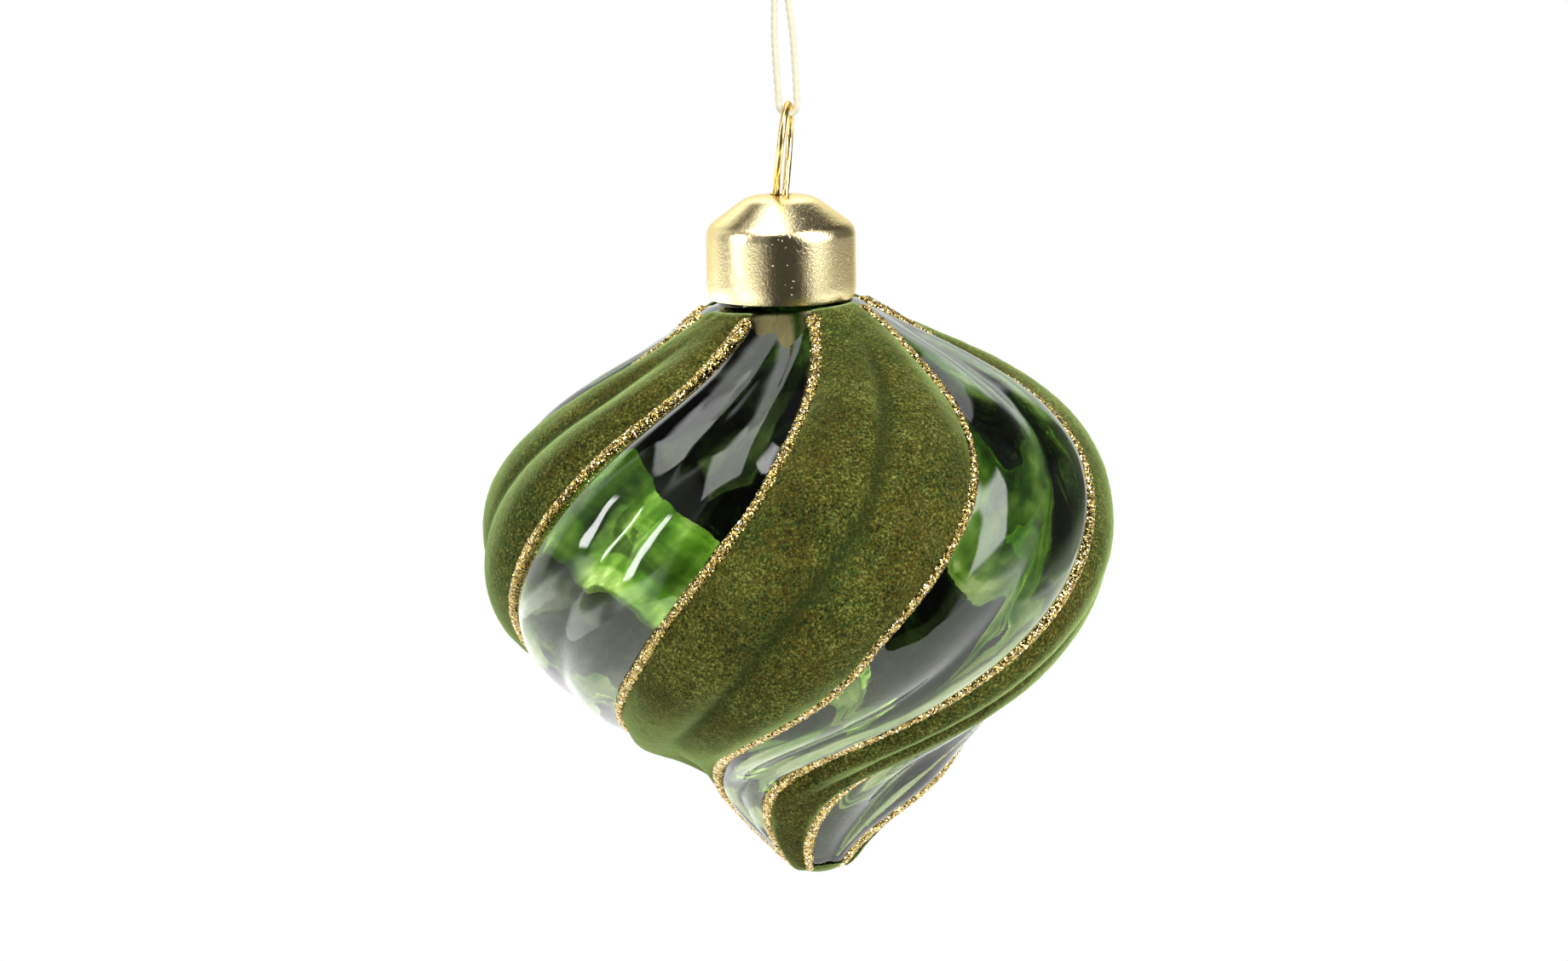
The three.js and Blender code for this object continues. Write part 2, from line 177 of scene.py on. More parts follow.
def outward(piece):
    """Turns every face of a closed piece outwards."""
    bpy.ops.object.select_all(action="DESELECT")
    piece.select_set(True)
    bpy.context.view_layer.objects.active = piece
    bpy.ops.object.mode_set(mode="EDIT")
    bpy.ops.mesh.select_all(action="SELECT")
    bpy.ops.mesh.normals_make_consistent(inside=False)
    bpy.ops.object.mode_set(mode="OBJECT")
    piece.select_set(False)
    return piece


def rope(name, line, radius, sides, lobes=0, lobe_depth=0.0, pitch=1.0):
    """A closed bar along a line. With lobes its section is that of a rope of so many strands,
    which turn once in each pitch."""
    tangent = np.gradient(line, axis=0)
    tangent /= np.linalg.norm(tangent, axis=1)[:, None]
    side = np.cross(tangent[0], (0.1, 0.9, 0.3))
    place, points, run = 0.0, [], np.linalg.norm(np.diff(line, axis=0), axis=1)
    for k, centre in enumerate(line):
        side = side - tangent[k] * (side @ tangent[k])
        side /= np.linalg.norm(side)
        other = np.cross(tangent[k], side)
        place += run[k - 1] if k else 0.0
        for angle in np.arange(sides) * 2 * pi / sides:
            reach = radius * (1 + lobe_depth * (cos(lobes * (angle - 2 * pi * place / pitch)) - 1))
            points.append(centre + reach * (cos(angle) * side + sin(angle) * other))
    ends = [list(range(sides)), list(range(len(points) - sides, len(points)))[::-1]]
    faces = [*grid_faces(len(line), sides, closed=True).tolist(), *ends]
    return outward(new_mesh(name, points, faces))


print("helpers ready")

# %% [markdown]
# ## Thread
# A limp cream cord of three strands, 0.85 mm thick. It goes down from its knot, under the wire
# and up again, and the pull of the ornament keeps it taut. The stations are those of the CAD
# route. Its section has three lobes that turn along it, because the lay of the strands shows.

# %% Thread
BIGHT_RADIUS = 1.15
THREAD_RADIUS = 0.425
THREAD_SIDES, THREAD_PLIES, THREAD_LAY = 24, 3, 3.4
strand = [(0.32, 2.2), (0.575, 0.9), (0.851, -1.95), (1.15, -6.0), (1.196, -10.05), (1.173, -13.2)]
bight = [
    (-BIGHT_RADIUS * cos(radians(a)), -THREAD_DROP - BIGHT_RADIUS * sin(radians(a)))
    for a in range(0, 181, 30)
]
stations = [(-x, z) for x, z in strand] + bight + strand[::-1]
thread_line = smooth_line([turned @ Vector((x, 0, z)) for x, z in stations], 60)
thread_line = evenly(thread_line, 320)
thread = rope(
    "thread_cord", thread_line, THREAD_RADIUS * 1.04, THREAD_SIDES, THREAD_PLIES, 0.1, THREAD_LAY
)
print("thread", round(length_of(thread_line), 1), "mm long")

# %% [markdown]
# The knot joins the two strands just above the picture. A tight overhand knot looks like a closed
# line of three loops, so that is its line, and each tail is a short rope that leaves its top.

# %% Knot
KNOT_RADIUS = 1.0
KNOT_SIDES = 18
KNOT_HEIGHT = 3.125
turns = np.linspace(0, 2 * pi, 161)
reach = KNOT_RADIUS * (2 + np.cos(3 * turns)) * 0.5
knot_line = np.stack([
    reach * np.cos(2 * turns),
    -KNOT_RADIUS * np.sin(3 * turns) * 0.5,
    reach * np.sin(2 * turns) + KNOT_HEIGHT,
], 1)
knot_line = np.array([turned @ Vector(p) for p in knot_line])
knot = rope(
    "cord_knot", evenly(knot_line, 200), THREAD_RADIUS * 1.1,
    KNOT_SIDES, THREAD_PLIES, 0.1, THREAD_LAY,
)
tails = []
for side in (-1, 1):
    tail = [
        (0.25 * side, 0.1, 3.9), (0.5 * side, 0, 5.0), (0.95 * side, -0.1, 6.0), (1.3 * side, 0.1, 7.2),
    ]
    tail_line = evenly(smooth_line([turned @ Vector(p) for p in tail]), 40)
    tails.append(rope(
        f"tail_{side + 1}", tail_line, THREAD_RADIUS, KNOT_SIDES, THREAD_PLIES, 0.12, THREAD_LAY
    ))
bpy.ops.object.select_all(action="DESELECT")
for piece in (*tails, knot):
    piece.select_set(True)
bpy.context.view_layer.objects.active = knot
bpy.ops.object.join()
knot.select_set(False)
print("knot has", len(knot.data.polygons), "faces")

# %% Thread and knot on their body
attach(thread, "thread")
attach(knot, "thread")
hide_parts("hanging_thread")
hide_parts("thread_knot")

# %% [markdown]
# ## Body of the ornament
# The outline is four pieces of curve: it flares from the shoulder, is widest at the belly, turns
# in at the flank and closes in a small ball. The mould gave it eight bands, each of two lobes,
# and its flutes turn as they run down. The same formulas made the solids, so glass, flock and
# glitter all lie on one surface. Edit mode can't give a twist that changes along the height, so
# these meshes come from a grid of points.

# %% Outline
SHOULDER, BELLY, FLANK = (9.6, 0.0), (39.8, 29.9), (17.9, 57.3)
TIP_BALL = 6.5
TIP_ANGLE = radians(40)


def outline_curve(start, start_slope, start_pull, end, end_slope, end_pull):
    """Points and tangents of one cubic curve of the outline, as (radius, drop)."""
    a, d = np.array(start), np.array(end)
    down = d[1] - a[1]
    b = a + np.array([start_slope, 1]) * start_pull * down
    c = d - np.array([end_slope, 1]) * end_pull * down
    t = np.linspace(0, 1, 300)[:, None]
    points = (1 - t)**3 * a + 3 * (1 - t)**2 * t * b + 3 * (1 - t) * t**2 * c + t**3 * d
    along = 3 * ((1 - t)**2 * (b - a) + 2 * (1 - t) * t * (c - b) + t**2 * (d - c))
    return points, along


def outline():
    """Radius, drop and outward direction down the whole outline, close together."""
    shoulder_slope, flank_slope = tan(radians(56.3)), -tan(radians(56.8))
    tip_slope = -tan(TIP_ANGLE)
    ball_drop = BODY_DROP - TIP_BALL
    tip_edge = (TIP_BALL * cos(TIP_ANGLE), ball_drop + TIP_BALL * sin(TIP_ANGLE))
    angle = np.linspace(TIP_ANGLE, pi / 2 - 0.01, 60)
    round_tip = np.stack([TIP_BALL * np.cos(angle), ball_drop + TIP_BALL * np.sin(angle)], 1)
    parts = [
        outline_curve(SHOULDER, shoulder_slope, 0.29, BELLY, 0, 0.59),
        outline_curve(BELLY, 0, 0.53, FLANK, flank_slope, 0.13),
        outline_curve(FLANK, flank_slope, 0.13, tip_edge, tip_slope, 0.72),
        (round_tip, np.stack([-np.sin(angle), np.cos(angle)], 1)),
    ]
    points = np.concatenate([part[0] for part in parts])
    along = np.concatenate([part[1] for part in parts])
    along /= np.linalg.norm(along, axis=1)[:, None]
    return np.column_stack([points, along[:, 1], -along[:, 0]])


OUTLINE = outline()
OUTLINE_RUN = np.concatenate(
    [[0], np.cumsum(np.linalg.norm(np.diff(OUTLINE[:, :2], axis=0), axis=1))]
)


def rows_at(runs):
    """Rows of the outline (radius, drop, out x, out drop) at distances along it."""
    return np.stack([np.interp(runs, OUTLINE_RUN, OUTLINE[:, k]) for k in range(4)], 1)


print("outline", round(OUTLINE_RUN[-1], 1), "mm long")

# %% Twist and flutes
PATTERN_START = 22.0
BAND = 45.0
TWIST = np.array([
    (0, 0), (0.136, 19), (0.3, 33), (0.46, 47.5), (0.58, 61),
    (0.68, 80.7), (0.76, 108), (0.83, 135), (0.91, 155), (1, 172),
])


def twist_at(share):
    """Degrees of twist at a share of the height, on a smooth curve through its stations."""
    x, y = TWIST[:, 0], TWIST[:, 1]
    secant = np.diff(y) / np.diff(x)
    slope = np.concatenate([[secant[0]], (secant[1:] + secant[:-1]) / 2, [secant[-1]]])
    share = np.clip(share, 0, 1)
    k = np.clip(np.searchsorted(x, share, side="right") - 1, 0, len(x) - 2)
    span = x[k + 1] - x[k]
    t = (share - x[k]) / span
    return ((2 * t**3 - 3 * t**2 + 1) * y[k] + (t**3 - 2 * t**2 + t) * slope[k] * span
            + (3 * t**2 - 2 * t**3) * y[k + 1] + (t**3 - t**2) * slope[k + 1] * span)


BAND_COUNT = 8
BORDER_GROOVE, LOBE_GROOVE = 1.5, 0.8
GROOVE_FULL_DROP, GROOVE_FULL_RADIUS = 9, 20
LOBE_GROOVE_FLAT_RADIUS, LOBE_GROOVE_FULL_RADIUS = 10, 28
VALLEY_SOFTNESS = 0.2
INNER_GROOVE_SHARE = 0.7
GLASS_WALL = 1.0
STRAY_DROPS = [38, 46, 54, 60, 66]
STRAY = {
    1: [0, 0.1, 0.14, 0.1, 0.02],
    3: [0, 0, -0.04, -0.14, -0.17],
    4: [0, 0, 0.11, 0.37, 0.42],
    5: [0, 0, 0.06, 0.2, 0.22],
    6: [0, 0, 0.02, 0.07, 0.08],
}
DENT_DEPTH, DENT_PLACE, DENT_DROP = 2.5, 0.55, 62.0
RIDGE_HEIGHT, RIDGE_PLACE, RIDGE_DROP = 3.2, 4.0, 58.5


def smoothstep(value, low, high):
    """0 below low and 1 above high, smooth between."""
    t = np.clip((value - low) / (high - low), 0, 1)
    return t * t * (3 - 2 * t)


def stray(drop, across):
    """How far, in bands, the lines laid by hand stray from even spacing near the tip."""
    straight = [0] * len(STRAY_DROPS)
    lines = range(BAND_COUNT + 1)
    table = [np.interp(drop, STRAY_DROPS, STRAY.get(line, straight)) for line in lines]
    table = np.stack(table, -1)[:, 0]
    line = np.floor(across % BAND_COUNT).astype(int)
    eased = smoothstep(across % BAND_COUNT - line, 0, 1)
    return table[:, line] * (1 - eased) + table[:, line + 1] * eased


def groove_depth(rows, across):
    """Depth of the flutes, at a band's border and between its two lobes. They run out towards
    the neck and the tip. Just above the tip one lobe is dented, and one line stands on a
    ridge."""
    in_band = (across % 1) * 2
    from_groove = np.hypot(1 - np.abs(2 * (in_band % 1) - 1), VALLEY_SOFTNESS) - VALLEY_SOFTNESS
    from_crest = 1 - from_groove / (hypot(1, VALLEY_SOFTNESS) - VALLEY_SOFTNESS)
    border = np.round(in_band) % 2 == 0
    flocked = np.floor(across % 2) == 0
    away_from_ends = smoothstep(rows[:, :1], LOBE_GROOVE_FLAT_RADIUS, LOBE_GROOVE_FULL_RADIUS)
    full = np.where(border, BORDER_GROOVE, LOBE_GROOVE * np.where(flocked, away_from_ends, 1))
    fade = smoothstep(rows[:, 1], -0.35, GROOVE_FULL_DROP)
    fade = fade * np.minimum(1, rows[:, 0] / GROOVE_FULL_RADIUS)
    dent = 1 - smoothstep(np.abs(across - DENT_PLACE), 0.05, 0.46)
    dent = dent * (1 - smoothstep(np.abs(rows[:, 1:2] - DENT_DROP), 1, 10))
    ridge = 1 - smoothstep(np.abs(across - RIDGE_PLACE), 0, 0.5)
    ridge = ridge * (1 - smoothstep(np.abs(rows[:, 1:2] - RIDGE_DROP), 0, 12))
    return fade[:, None] * full * from_crest**2 + DENT_DEPTH * dent - RIDGE_HEIGHT * ridge


def on_body(rows, across, lift=0.0, inner=False):
    """Points over the body, one row of the outline by one place across the bands.
    Across counts bands, so 0 is the first border, and lift stands off the glass."""
    rows, across = np.asarray(rows), np.asarray(across, float)
    depth = groove_depth(rows, across)
    move = lift - (INNER_GROOVE_SHARE * depth + GLASS_WALL if inner else depth)
    radius = rows[:, :1] + rows[:, 2:3] * move
    drop = rows[:, 1:2] + rows[:, 3:4] * move
    twist = twist_at(rows[:, 1] / BODY_DROP)[:, None]
    placed = across + stray(rows[:, 1:2], across)
    turn = np.radians(PATTERN_START - twist + placed * BAND - 90)
    place = np.array(body_place)
    return np.stack([
        place[0] + radius * np.cos(turn), place[1] + radius * np.sin(turn), place[2] - drop,
    ], -1)


print("twist at the belly", round(float(twist_at(BELLY[1] / BODY_DROP)), 1), "degrees")

# %% [markdown]
# ### Glass
# A mould-blown shell about 1 mm thick: an outer and an inner skin, joined at the lip of the neck.
# Both skins are real surfaces, because light bends at each of them. Columns crowd together at
# the grooves, where the surface turns fastest, and slow waves of up to a tenth of a millimetre
# give the uneven skin of blown glass.

# %% Glass shell
NECK_RADIUS = 8.1
LIP_HEIGHT = 8.99
LIP_EDGE = 0.15
COLUMNS_PER_LOBE = 18
CROWDING = 0.62
OUTER_STEP, INNER_STEP = 0.72, 1.3
MM_PER_BAND = 25


def lobe_columns():
    """Places across all bands, crowded towards the grooves."""
    t = np.arange(COLUMNS_PER_LOBE) / COLUMNS_PER_LOBE
    eased = t - CROWDING * np.sin(2 * pi * t) / (2 * pi)
    return np.concatenate([(eased + lobe) / 2 for lobe in range(2 * BAND_COUNT)])


def waves(points, size, seed):
    """A slow random value at each point, between about -1 and 1."""
    shift = Vector((seed * 17.3, seed * 5.1, seed * 9.7))
    return np.array([noise.noise(Vector(p) / size + shift) for p in points])


def skin(runs, inner):
    """The rings of one skin of the glass, at these distances down the outline."""
    rows = rows_at(runs)
    points = on_body(rows, lobe_columns(), 0.0, inner)
    turn = np.arctan2(points[..., 1] - body_place[1], points[..., 0] - body_place[0])
    out = np.stack([np.cos(turn), np.sin(turn), np.zeros(turn.shape)], -1)
    flat = points.reshape(-1, 3)
    swell = 0.09 * waves(flat, 6.0, 3 + inner) + 0.03 * waves(flat, 2.2, 5 + inner)
    fade = np.minimum(1, rows[:, 1:2] / 6)
    return points + out * (swell.reshape(points.shape[:2]) * fade)[..., None]


def neck_ring(radius, rise):
    """One round ring of the neck, at a height above the shoulder."""
    turn = np.radians(PATTERN_START + lobe_columns() * BAND - 90)
    height = np.full(len(turn), body_place[2] + rise)
    return np.stack([
        body_place[0] + radius * np.cos(turn), body_place[1] + radius * np.sin(turn), height,
    ], -1)


outer_runs = np.concatenate([[0, 0.35, 0.8], np.arange(1.4, OUTLINE_RUN[-1], OUTER_STEP)])
inner_runs = np.arange(0.8, OUTLINE_RUN[-1] - 1.6, INNER_STEP)
neck_inside = NECK_RADIUS - GLASS_WALL
outer_rings = [neck_ring(NECK_RADIUS, rise) for rise in (LIP_HEIGHT - LIP_EDGE, 5, 0.9, 0.4)]
outer_rings += list(skin(outer_runs, False))
inner_rings = [neck_ring(neck_inside, rise) for rise in (LIP_HEIGHT - LIP_EDGE, 5, 0.3)]
inner_rings += list(skin(inner_runs, True))
lip_ring = [neck_ring(NECK_RADIUS - GLASS_WALL / 2, LIP_HEIGHT)]
rings = outer_rings[::-1] + lip_ring + inner_rings
count = len(rings[0])
tips = [
    (body_place[0], body_place[1], body_place[2] - BODY_DROP),
    (body_place[0], body_place[1], body_place[2] - BODY_DROP + GLASS_WALL),
]
glass_points = np.concatenate([*rings, tips])
outer_tip, inner_tip = len(glass_points) - 2, len(glass_points) - 1
first_inner = (len(rings) - 1) * count
glass_faces = grid_faces(len(rings), count, closed=True).tolist()
glass_faces += [(j, (j + 1) % count, outer_tip) for j in range(count)]
glass_faces += [(first_inner + j, inner_tip, first_inner + (j + 1) % count) for j in range(count)]
glass = outward(new_mesh("glass_shell", glass_points, glass_faces))
print("glass has", len(glass.data.polygons), "faces")

# %% [markdown]
# The tint of the glass follows the flutes, so each point keeps its distance down the outline and
# its place across the bands, both in millimetres of a flat sheet.

# %% Places along the flutes
neck_runs = [-LIP_HEIGHT, -5, -0.9, -0.4]
ring_runs = [*neck_runs, *outer_runs][::-1] + [-LIP_HEIGHT - 1] + [*neck_runs[:3], *inner_runs]
run_and_across = np.meshgrid(ring_runs, lobe_columns() * MM_PER_BAND, indexing="ij")
along_flute = np.stack(run_and_across, -1).reshape(-1, 2)
along_flute = np.concatenate([along_flute, [(OUTLINE_RUN[-1], 0)] * 2])
note(glass, "along_flute", np.column_stack([along_flute, np.zeros(len(along_flute))]))
print("rings of the glass:", len(ring_runs))

# %% [markdown]
# ### Flock
# Every second band carries flock: half a millimetre of short fibres shot on to glue. It hides
# the glass wholly, so it is a solid skin, rounded off towards the glitter lines that cover its
# edges. The fibres are far too small to model, so a slightly lumpy skin carries them as colour,
# sheen and bump.

# %% Flock bands
COAT_END = 2.6
COAT_GAP = 0.06
FLOCK_PILE = 0.5
FLOCK_STEP, FLOCK_COLUMNS = 0.6, 49
CREASE_REACH, CREASE_DEPTH = 1.3, 0.3


def flock_band(name, band):
    """A closed skin of flock over one band, with rounded edges and a crease in its middle."""
    runs = np.arange(0.0, OUTLINE_RUN[-1] - COAT_END, FLOCK_STEP)
    rows = rows_at(runs)
    t = np.linspace(0, 1, FLOCK_COLUMNS)
    across = band + t
    edge = np.minimum(t, 1 - t) * np.radians(BAND) * rows[:, :1]
    pile = FLOCK_PILE * np.sqrt(smoothstep(edge, -0.25, 1.1))
    ends = np.minimum(runs, runs[::-1])[:, None]
    pile = pile * np.sqrt(smoothstep(ends, -0.1, 0.9)) + 0.02
    top = on_body(rows, across, 0.0).reshape(-1, 3)
    lumps = 0.05 * waves(top, 1.1, 2 + band) + 0.05 * waves(top, 3.0, 12 + band)
    from_groove = np.abs(t - 0.5) * np.radians(BAND) * rows[:, :1]
    groove = np.exp(-((from_groove / CREASE_REACH) ** 2)) * smoothstep(rows[:, :1], 12, 28)
    pile = pile - CREASE_DEPTH * groove
    lumps = lumps.reshape(pile.shape) * (pile > FLOCK_PILE / 2)
    top = on_body(rows, across, COAT_GAP + pile + lumps)
    base = on_body(rows, across, COAT_GAP)
    height, width = top.shape[:2]
    size = height * width
    faces = grid_faces(height, width).tolist()
    faces += grid_faces(height, width, first=size, flip=True).tolist()
    for row in (0, height - 1):
        for j in range(width - 1):
            a = row * width + j
            faces.append((a, a + 1, a + 1 + size, a + size))
    for column in (0, width - 1):
        for i in range(height - 1):
            a = i * width + column
            faces.append((a, a + width, a + width + size, a + size))
    piece = outward(new_mesh(name, np.concatenate([top.reshape(-1, 3), base.reshape(-1, 3)]), faces))
    # The crease is kept on the mesh for the material, which paints shade into it.
    note(piece, "groove", [*groove.ravel(), *groove.ravel()])
    note(piece, "fibres", [1] * size + [0] * size)
    return piece


flock = []
for number, band in enumerate((0, 2, 4, 6), 1):
    piece = flock_band(f"flock_{number}", band)
    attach(piece, "bauble")
    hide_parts(f"flock_band_{number}")
    flock.append(piece)
print("flock bands:", len(flock), "of", len(flock[0].data.polygons), "faces")

# %% [markdown]
# The very tip has a dab of flock of its own, which covers the star between the ends of the
# glitter lines. It is the foot of a ball that is a little larger than the tip's, cut off level.

# %% Flock on the tip
TIP_FLOCK_RADIUS = 4.3
TIP_PILE = 0.16
dab_ball = TIP_BALL + TIP_PILE
ball_centre = body_place - Vector((0, 0, BODY_DROP - TIP_BALL))
bpy.ops.mesh.primitive_uv_sphere_add(
    segments=48, ring_count=64, radius=dab_ball * MM, location=ball_centre * MM
)
tip_flock = bpy.context.object
tip_flock.name = "flock_end"
cut_height = ball_centre.z - dab_ball * cos(asin(TIP_FLOCK_RADIUS / dab_ball))
bpy.ops.object.mode_set(mode="EDIT")
bpy.ops.mesh.select_all(action="SELECT")
bpy.ops.mesh.bisect(
    plane_co=(0, 0, cut_height * MM), plane_no=(0, 0, 1), clear_outer=True, use_fill=True
)
bpy.ops.object.mode_set(mode="OBJECT")
bpy.ops.object.transform_apply(location=True, rotation=True, scale=True)
bpy.ops.object.shade_smooth_by_angle(angle=radians(40))
tip_flock.select_set(False)
note(tip_flock, "groove", [0] * len(tip_flock.data.vertices))
note(tip_flock, "fibres", [1] * len(tip_flock.data.vertices))
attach(tip_flock, "bauble")
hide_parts("flock_tip")
flock.append(tip_flock)
print("flock on the tip:", len(tip_flock.data.polygons), "faces")

# %% [markdown]
# ### Glitter lines
# Each border carries a bead of glue, about 1.5 mm wide, full of coarse glitter. Its flakes lie at
# all angles, which is what makes it sparkle. The bead is a dome along the border whose points are
# shaken by a few hundredths of a millimetre, and flat shading keeps each facet apart. It was laid
# by hand, so its width wanders. It starts wide below the neck, and narrows at the very tip.

# %% Glitter lines
BEAD_HALF_WIDTH = 0.78
BEAD_HEIGHT = 0.95
BEAD_TOP = 0.9
BEAD_SHAKE = 0.04
FLAKE = 0.2
shake = np.random.default_rng(7)


def glitter_line(name, band):
    """A closed bead of glitter along one border."""
    runs = np.arange(BEAD_TOP, OUTLINE_RUN[-1] - COAT_END, 0.02)
    centre = on_body(rows_at(runs), [band])[:, 0]
    line = evenly(centre, int(length_of(centre) / FLAKE))
    steps = np.concatenate([[0], np.cumsum(np.linalg.norm(np.diff(centre, axis=0), axis=1))])
    place = np.interp(np.linspace(0, steps[-1], len(line)), steps, runs)
    rows = rows_at(place)
    tangent = np.gradient(line, axis=0)
    tangent /= np.linalg.norm(tangent, axis=1)[:, None]
    radial = line - np.array(body_place)
    radial[:, 2] = 0
    radial /= np.linalg.norm(radial, axis=1)[:, None]
    out = radial * rows[:, 2:3] - np.array([0, 0, 1]) * rows[:, 3:4]
    out -= tangent * (out * tangent).sum(1)[:, None]
    out /= np.linalg.norm(out, axis=1)[:, None]
    side = np.cross(tangent, out)
    ends = np.minimum(np.arange(len(line)), np.arange(len(line))[::-1]) * FLAKE
    taper = np.sqrt(smoothstep(ends, -0.2, 1.2))
    near_tip = 0.62 + 0.38 * smoothstep(rows[:, 0], 2, 9)
    wander = 1 + 0.3 * waves(line, 9, 20 + band) + 0.14 * waves(line, 1.6, 40 + band)
    below_start = line[:, 2] - line[0, 2]
    wander += 0.1 * waves(line, 0.6, 60 + band) + 0.25 * smoothstep(below_start, -2.5, -0.8)
    wander += 0.22 * smoothstep(rows[:, 1], 46, 56)
    angles = np.radians([0, 20, 40, 60, 80, 100, 120, 140, 160, 180])
    half = BEAD_HALF_WIDTH * wander * taper * near_tip
    rise = BEAD_HEIGHT * taper * near_tip
    points = (
        line[:, None]
        + side[:, None] * (np.cos(angles) * half[:, None])[..., None]
        + out[:, None] * (0.02 + np.sin(angles) * rise[:, None])[..., None]
    )
    points[:, 1:-1] += shake.normal(0, BEAD_SHAKE, points[:, 1:-1].shape)
    height, width = points.shape[:2]
    faces = grid_faces(height, width, closed=True).tolist()
    faces += [list(range(width)), list(range((height - 1) * width, height * width))[::-1]]
    return outward(new_mesh(name, points.reshape(-1, 3), faces, smooth=False))


glitter = []
for number in range(1, 9):
    piece = glitter_line(f"glitter_{number}", number - 1)
    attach(piece, "bauble")
    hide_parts(f"glitter_line_{number}")
    glitter.append(piece)
print("glitter lines:", len(glitter), "of", len(glitter[0].data.polygons), "faces")

# %% Glass on its body
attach(glass, "bauble")
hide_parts("glass_bauble")
print("glass rides on the bauble")

# %% [markdown]
# ## Cap
# The cap is pressed from thin sheet: a skirt whose hem is tucked in a little, a shallow cone and
# a faintly domed top with one hole. It could be extruded ring by ring, but its soft corners come
# out evenly only when they are in the outline first. So the section of the sheet is drawn once,
# with every corner rounded, and Spin turns it about the axis. Then the cap is tilted and put on
# the neck.

# %% Section of the cap
CAP_RADIUS = 9.45
CAP_FLAT_RADIUS = 4.25
CAP_HOLE_RADIUS = 1.35
CAP_SHEET = 0.4
CAP_TUCK, CAP_TUCK_HEIGHT = 0.24, 1.15
CAP_DOME = 0.4


def rounded(corners, steps=7):
    """A closed outline (radius, height) whose corners are rounded, each by its own reach."""
    outline_points = []
    places = [np.array(corner[:2], float) for corner in corners]
    for k, (_, _, reach) in enumerate(corners):
        corner, before, after = places[k], places[k - 1], places[(k + 1) % len(places)]
        start = corner + (before - corner) / np.linalg.norm(before - corner) * reach
        end = corner + (after - corner) / np.linalg.norm(after - corner) * reach
        for t in np.linspace(0, 1, steps):
            outline_points.append((1 - t)**2 * start + 2 * (1 - t) * t * corner + t**2 * end)
    return np.array(outline_points)


crown = CAP_SKIRT + CAP_CONE
cap_inside = CAP_RADIUS - CAP_SHEET
section = rounded([
    (CAP_RADIUS - CAP_TUCK, 0, 0.1),
    (CAP_RADIUS + 0.02, CAP_TUCK_HEIGHT, 1.0),
    (CAP_RADIUS, CAP_SKIRT, 1.15),
    (CAP_FLAT_RADIUS, crown + 0.15, 1.2),
    (CAP_HOLE_RADIUS, crown + CAP_DOME, 0.14),
    (CAP_HOLE_RADIUS, crown + CAP_DOME - CAP_SHEET, 0.14),
    (CAP_FLAT_RADIUS - 0.13, crown + 0.15 - CAP_SHEET, 0.7),
    (cap_inside, CAP_SKIRT - 0.21, 0.8),
    (cap_inside, CAP_TUCK_HEIGHT, 0.6),
    (cap_inside - CAP_TUCK, 0, 0.1),
])
print("cap section:", len(section), "points")

# %% Cap
cap = new_mesh("cap_shell", [(r, 0, h) for r, h in section], [])
cap.data.edges.add(len(section))
cap.data.edges.foreach_set(
    "vertices", [v for k in range(len(section)) for v in (k, (k + 1) % len(section))]
)
cap.data.update()
bpy.context.view_layer.objects.active = cap
cap.select_set(True)
bpy.ops.object.mode_set(mode="EDIT")
bpy.ops.mesh.select_all(action="SELECT")
bpy.ops.mesh.spin(steps=144, angle=2 * pi, center=(0, 0, 0), axis=(0, 0, 1))
bpy.ops.mesh.select_all(action="SELECT")
bpy.ops.mesh.remove_doubles(threshold=0.002 * MM)
bpy.ops.mesh.normals_make_consistent(inside=False)
bpy.ops.object.mode_set(mode="OBJECT")
print("cap has", len(cap.data.polygons), "faces")

# %% Cap in place
cap.matrix_world = (
    Matrix.Translation((turned @ rim_centre) * MM)
    @ turned.to_4x4()
    @ Matrix.Rotation(CAP_TILT, 4, "Y")
)
bpy.ops.object.transform_apply(location=True, rotation=True, scale=True)
bpy.ops.object.shade_smooth_by_angle(angle=radians(50))
cap.select_set(False)
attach(cap, "cap")
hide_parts("cap")
print("cap top at", round(max(v.co.z for v in cap.data.vertices) / MM, 2), "mm")

# %% [markdown]
# ## Wire hanger
# One length of hard gold wire, 0.9 mm thick. Its two legs press outwards in the neck, cross the
# hole side by side and close in a round loop. The stations are the CAD's.

# %% Wire
WIRE_RADIUS = 0.44
STRAND_OFFSET, STRAND_SPREAD = 0.5, 0.46
LOOP_WIDTH = 8.8
LEG_CLEARANCE = 0.3
ROOM_IN_NECK = NECK_RADIUS - GLASS_WALL - LEG_CLEARANCE - WIRE_RADIUS
local_body = rim_centre - Vector((0, 0, CAP_RIM_LIFT))


def wire_half(side):
    """Stations of one half of the wire, from the end of its leg up to the loop."""
    legs = [(0.88, -5.0), (1, -1.75), (0.97, 0.4 * LIP_HEIGHT), (0.62, 0.92 * LIP_HEIGHT)]
    loop = [(1, 0, -0.034), (0.9, 0.22, 0.14), (0.4, 0.73, 0.38), (0, 1, 0.64), (0, 0.69, 0.88)]
    half = [local_body + Vector((0, side * out * ROOM_IN_NECK, height)) for out, height in legs]
    for offset, width, height in loop:
        spread = STRAND_SPREAD + (LOOP_WIDTH / 2 - STRAND_SPREAD) * width
        half.append(
            cap_top + loop_up * height * LOOP_HEIGHT
            + Vector((side * offset * STRAND_OFFSET, side * spread, 0))
        )
    return half


wire_stations = [*wire_half(1), wire_top, *wire_half(-1)[::-1]]
wire_line = evenly(smooth_line([turned @ p for p in wire_stations], 80), 420)
wire = rope("wire_loop", wire_line, WIRE_RADIUS, 24)
bpy.ops.object.select_all(action="DESELECT")
wire.select_set(True)
bpy.context.view_layer.objects.active = wire
bpy.ops.object.shade_smooth_by_angle(angle=radians(50))
wire.select_set(False)
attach(wire, "hanger")
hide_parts("hanger_wire")
print("wire", round(length_of(wire_line), 1), "mm long")

